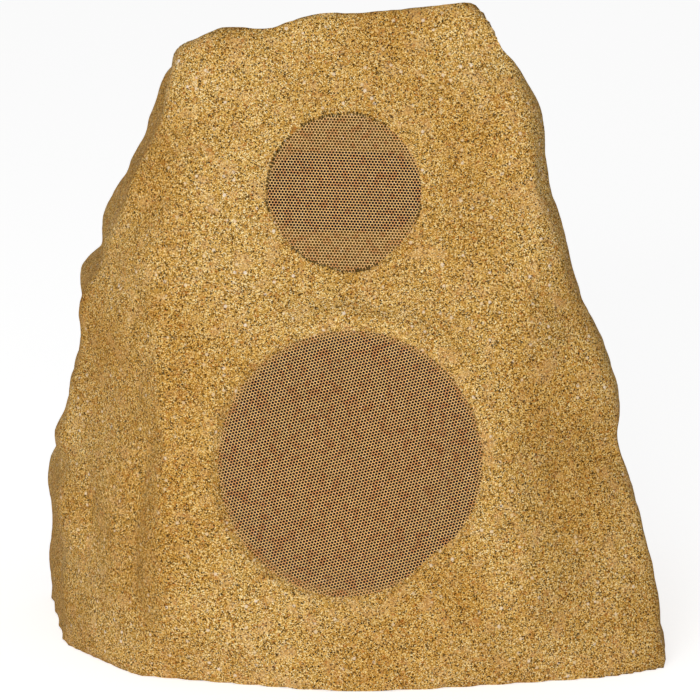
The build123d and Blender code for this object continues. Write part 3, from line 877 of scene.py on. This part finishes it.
def stone_grain_group():
    """The colour and height of the stone coat, for the rock and the sprayed sheets alike."""
    tree = bpy.data.node_groups.new("stone_grain", "ShaderNodeTree")
    tree.interface.new_socket("Vector", in_out="INPUT", socket_type="NodeSocketVector")
    tree.interface.new_socket("Color", in_out="OUTPUT", socket_type="NodeSocketColor")
    tree.interface.new_socket("Height", in_out="OUTPUT", socket_type="NodeSocketFloat")
    plain = add_node(tree, "NodeGroupInput").outputs["Vector"]
    shaken = add_node(
        tree, "ShaderNodeTexNoise", {"Vector": plain, "Scale": 1.0 / (1.0 * MM), "Detail": 1.0}
    ).outputs["Color"]
    place = add_node(
        tree,
        "ShaderNodeVectorMath",
        {0: shaken, 1: (0.4 * MM,) * 3, 2: plain},
        operation="MULTIPLY_ADD",
    ).outputs[0]
    tones, from_middle = cells(tree, place, GRAIN)
    colour = ramp(
        tree,
        tones["Red"],
        [
            (0.0, linear(36, 22, 4)),
            (0.14, linear(104, 72, 20)),
            (0.34, linear(188, 138, 56)),
            (0.64, linear(214, 166, 82)),
            (0.84, linear(248, 210, 130)),
            (1.0, linear(255, 242, 196)),
        ],
    )
    tint = cloud(tree, plain, 5.0 * MM, 3.0)
    rust = maths(tree, "MULTIPLY", band(tree, tint, 0.52, 0.74), 0.35)
    colour = colour_mix(tree, rust, colour, linear(180, 116, 46))
    straw = maths(tree, "MULTIPLY", band(tree, tint, 0.46, 0.30), 0.35)
    colour = colour_mix(tree, straw, colour, linear(200, 160, 80))
    moved = add_node(
        tree, "ShaderNodeVectorMath", {0: plain, 1: (0.3, 0.7, 0.1)}, operation="ADD"
    ).outputs[0]
    warm = band(tree, cloud(tree, moved, 9.0 * MM, 3.0), 0.50, 0.72)
    blush = maths(tree, "MULTIPLY", warm, 0.38)
    colour = colour_mix(tree, blush, colour, linear(224, 178, 122))
    small_pale, tones = spots(tree, place, 1.7 * MM, 0.20, 0.30)
    colour = colour_mix(tree, maths(tree, "MULTIPLY", small_pale, 0.6), colour, linear(244, 216, 164))
    orange, tones = spots(tree, place, 2.8 * MM, 0.45, 0.28, "Blue")
    colour = colour_mix(tree, maths(tree, "MULTIPLY", orange, 0.45), colour, linear(186, 104, 34))
    flecks, tones = spots(tree, place, 5.2 * MM, 0.42, 0.19)
    fleck_colour = colour_mix(tree, tones["Green"], linear(238, 208, 160), linear(248, 232, 214))
    colour = colour_mix(tree, maths(tree, "MULTIPLY", flecks, 0.8), colour, fleck_colour)
    specks, tones = spots(tree, place, 1.55 * MM, 0.7, 0.30, "Green")
    depth = maths(tree, "MULTIPLY_ADD", tones["Blue"], 0.45, 0.55)
    dark = maths(tree, "MULTIPLY", specks, depth)
    colour = colour_mix(tree, dark, colour, linear(42, 26, 6))
    pits, tones = spots(tree, place, 7.0 * MM, 0.30, 0.11, "Blue")
    colour = colour_mix(tree, maths(tree, "MULTIPLY", pits, 0.8), colour, linear(60, 38, 14))
    height = maths(tree, "MULTIPLY", from_middle, -0.5)
    height = maths(tree, "MULTIPLY_ADD", tones["Red"], 0.15, height)
    height = maths(tree, "MULTIPLY_ADD", flecks, 0.5, height)
    height = maths(tree, "MULTIPLY_ADD", dark, -1.0, height)
    height = maths(tree, "MULTIPLY_ADD", pits, -1.4, height)
    add_node(tree, "NodeGroupOutput", {"Color": colour, "Height": height})
    return tree


def grained_finish(name, grain, bump_depth, roughness):
    """A finish with the stone coat's own colours."""
    material, tree, shader = new_finish(name, roughness)
    shader.inputs["Specular IOR Level"].default_value = STONE_GLINT
    place = add_node(tree, "ShaderNodeTexCoord").outputs["Object"]
    coat = add_node(tree, "ShaderNodeGroup", node_tree=grain)
    tree.links.new(place, coat.inputs["Vector"])
    bump = add_node(
        tree, "ShaderNodeBump", {"Height": coat.outputs["Height"], "Distance": bump_depth}
    )
    tree.links.new(bump.outputs[0], shader.inputs["Normal"])
    return material, tree, shader, place, coat.outputs["Color"]


def sandstone_finish(grain):
    material, tree, shader, place, colour = grained_finish("sandstone", grain, 0.35 * MM, 0.92)
    weathered = band(tree, cloud(tree, place, 70.0 * MM, 3.0), 0.35, 0.70)
    deeper = colour_mix(tree, 1.0, colour, linear(238, 226, 200), "MULTIPLY")
    tree.links.new(colour_mix(tree, weathered, colour, deeper), shader.inputs["Base Color"])
    return material


def bed_painted_shade(grain):
    """Stone behind the sheets, darkened as painted shade for the recess seen through the perforations.
    """
    material, tree, shader, place, colour = grained_finish("rebate_painted_shade", grain, 0.2 * MM, 0.95)
    # Painted shade: the stone colour is mixed most of the way to a dark olive brown
    tree.links.new(
        colour_mix(tree, 0.86, colour, linear(54, 41, 7)), shader.inputs["Base Color"]
    )
    return material


def sheet_finish(grain):
    material, tree, shader, place, colour = grained_finish("grille_sheet", grain, 0.1 * MM, 0.8)
    sprayed = colour_mix(tree, 0.7, colour, linear(255, 205, 136))
    patches = band(tree, cloud(tree, place, 3.5 * MM, 3.0), 0.46, 0.66)
    blotches = maths(tree, "MULTIPLY", patches, 0.5)
    mottled = colour_mix(tree, blotches, sprayed, linear(206, 118, 60))
    tree.links.new(mottled, shader.inputs["Base Color"])
    return material


def pattern_group(name, stretches, detail, pebbles):
    """Tone and height of a worked surface: clouds drawn out each way given, with pebbles or none."""
    tree = bpy.data.node_groups.new(name, "ShaderNodeTree")
    tree.interface.new_socket("Vector", in_out="INPUT", socket_type="NodeSocketVector")
    tree.interface.new_socket("Size", in_out="INPUT", socket_type="NodeSocketFloat")
    tree.interface.new_socket("Tone", in_out="OUTPUT", socket_type="NodeSocketFloat")
    tree.interface.new_socket("Height", in_out="OUTPUT", socket_type="NodeSocketFloat")
    given = add_node(tree, "NodeGroupInput").outputs
    fineness = maths(tree, "DIVIDE", 1.0, given["Size"])
    height = 0.0
    for stretch in stretches:
        drawn = add_node(
            tree,
            "ShaderNodeVectorMath",
            {0: given["Vector"], 1: stretch},
            operation="MULTIPLY",
        ).outputs[0]
        layer = add_node(
            tree, "ShaderNodeTexNoise", {"Vector": drawn, "Scale": fineness, "Detail": detail}
        ).outputs["Fac"]
        height = maths(tree, "MAXIMUM", height, layer)
    if pebbles:
        bumps = add_node(
            tree, "ShaderNodeTexVoronoi", {"Vector": given["Vector"], "Scale": fineness}
        ).outputs["Distance"]
        height = maths(tree, "MULTIPLY_ADD", bumps, -0.5, height)
    patches = add_node(
        tree,
        "ShaderNodeTexNoise",
        {"Vector": given["Vector"], "Scale": maths(tree, "DIVIDE", fineness, 12.0), "Detail": 3.0},
    ).outputs["Fac"]
    tone = maths(tree, "MULTIPLY_ADD", patches, 0.5, maths(tree, "MULTIPLY", height, 0.6))
    add_node(tree, "NodeGroupOutput", {"Tone": tone, "Height": height})
    return tree


def worked_finish(slot, colour, patterns):
    """The finish of a slot, from the colour that the part's record gives it."""
    pattern, size, depth, darkest, roughness, metallic = FINISHES[slot]
    material, tree, shader = new_finish(slot, roughness, metallic)
    place = add_node(tree, "ShaderNodeTexCoord").outputs["Object"]
    worked = add_node(
        tree, "ShaderNodeGroup", {"Vector": place, "Size": size * MM}, node_tree=patterns[pattern]
    ).outputs
    # Painted shade: the slot's colour is darkened by its share
    if slot in PAINTED_SHADE_SHARE:
        colour = tuple(PAINTED_SHADE_SHARE[slot] * level for level in colour)
        shader.inputs["Specular IOR Level"].default_value = SHADED_PART_GLINT
    darker = tuple(darkest * level for level in colour)
    tone = band(tree, worked["Tone"], 0.2, 0.75)
    shade = colour_mix(tree, tone, (*darker, 1.0), (*colour, 1.0))
    tree.links.new(shade, shader.inputs["Base Color"])
    gloss = add_node(
        tree,
        "ShaderNodeMapRange",
        {"Value": tone, "To Min": min(1.0, roughness + 0.1), "To Max": roughness - 0.06},
    ).outputs[0]
    tree.links.new(gloss, shader.inputs["Roughness"])
    bump = add_node(
        tree, "ShaderNodeBump", {"Height": worked["Height"], "Distance": depth * MM}
    ).outputs[0]
    tree.links.new(bump, shader.inputs["Normal"])
    return material


def dress(thing, material):
    thing.data.materials.clear()
    thing.data.materials.append(material)
    return thing


# Pieces on the frame

grain = stone_grain_group()
rock = dress(make_rock(), sandstone_finish(grain))
# The second slot holds painted shade for the rebate floors behind the sheets
rock.data.materials.append(bed_painted_shade(grain))
shade_beds(rock)
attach(rock, CABINET)
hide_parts("rock_shell")

sheet_paint = sheet_finish(grain)
holes = lattice_tree()
for name, node, seat, turn in (
    ("woofer_sheet", "woofer_grille", WOOFER, WOOFER_SHEET_TURN),
    ("tweeter_sheet", "tweeter_grille", TWEETER, TWEETER_SHEET_TURN),
):
    sheet = perforated_disc(name, seat, disc_radius(node) - PLAIN_RIM, turn, holes, sheet_paint)
    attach(sheet, CABINET)
    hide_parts(node)

patterns = {
    "moulded": pattern_group("moulded_grain", EVEN_WAY, 3.0, True),
    "drawn": pattern_group("drawn_marks", DRAWN_WAYS, 2.0, False),
    "felted": pattern_group("felted_fibre", FELT_WAYS, 2.0, False),
}
colours = {entry["slot"]: entry["base_color"] for entry in frame["record"]["materials"]}
finishes = {slot: worked_finish(slot, colours[slot], patterns) for slot in FINISHES}

surround = dress(surround_ring(), finishes["surround_rubber"])
flex(surround)
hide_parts("woofer_surround")

spider = dress(spider_ring(), finishes["spider_cloth"])
flex(spider)
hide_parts("woofer_spider")

fleece = dress(fleece_pad(), finishes["damping_fleece"])
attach(fleece, CABINET)
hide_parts("damping_pad")

for part in frame["record"]["subparts"]:
    node = NODES[part["node"]]
    if part["material_slot"] in finishes:
        dress(node, finishes[part["material_slot"]])
for name, width in EDGE_BREAK.items():
    weld = NODES[name].modifiers.new("weld", "WELD")
    weld.merge_threshold = 0.002 * MM
    bevel = NODES[name].modifiers.new("broken_edge", "BEVEL")
    bevel.width = width * MM
    bevel.segments = 2
    bevel.limit_method = "ANGLE"
    bevel.angle_limit = math.radians(40.0)

# Studio


def seen_directly(tree):
    """1 where the camera sees a surface, straight or in a gloss or glass."""
    path = add_node(tree, "ShaderNodeLightPath").outputs
    seen = maths(tree, "MAXIMUM", path["Is Camera Ray"], path["Is Glossy Ray"])
    return maths(tree, "MAXIMUM", seen, path["Is Transmission Ray"])


def studio():
    scene = bpy.context.scene
    scene.view_settings.view_transform = "Standard"
    floor = mesh_piece("floor", [(-12, -12, 0), (12, -12, 0), (12, 12, 0), (-12, 12, 0)], [(0, 1, 2, 3)])
    paper, tree, shader = new_finish("floor_paper", roughness=0.9)
    shader.inputs["Base Color"].default_value = (0.85, 0.85, 0.85, 1.0)
    shader.inputs["Specular IOR Level"].default_value = 0.0
    shader.inputs["Emission Color"].default_value = (1.0, 1.0, 1.0, 1.0)
    seen = seen_directly(tree)
    tree.links.new(maths(tree, "MULTIPLY", seen, FLOOR_LIFT), shader.inputs["Emission Strength"])
    dress(floor, paper)
    world = bpy.data.worlds.new("studio")
    scene.world = world
    world.use_nodes = True
    sky = world.node_tree.nodes["Background"]
    sky.inputs["Color"].default_value = (1.0, 1.0, 1.0, 1.0)
    level = add_node(
        world.node_tree,
        "ShaderNodeMapRange",
        {"Value": seen_directly(world.node_tree), "To Min": FILL_LEVEL, "To Max": 1.0},
    ).outputs[0]
    world.node_tree.links.new(level, sky.inputs["Strength"])
    lamp = bpy.data.lights.new("key", "AREA")
    lamp.shape = "DISK"
    lamp.size = KEY_SIZE
    lamp.energy = KEY_POWER
    key = bpy.data.objects.new("key", lamp)
    scene.collection.objects.link(key)
    key.location = AIM + KEY_PLACE
    key.rotation_euler = (AIM - key.location).to_track_quat("-Z", "Y").to_euler()
    view = bpy.data.cameras.new("camera")
    view.sensor_width = SENSOR
    view.lens = SENSOR * CAMERA_DISTANCE / (PHOTO_SIDE * PIXEL)
    view.clip_end = 60.0
    camera = bpy.data.objects.new("camera", view)
    scene.collection.objects.link(camera)
    back = Vector((0.0, -math.cos(CAMERA_RISE), math.sin(CAMERA_RISE)))
    camera.location = AIM + back * CAMERA_DISTANCE
    camera.rotation_euler = (-back).to_track_quat("-Z", "Y").to_euler()
    scene.camera = camera


studio()
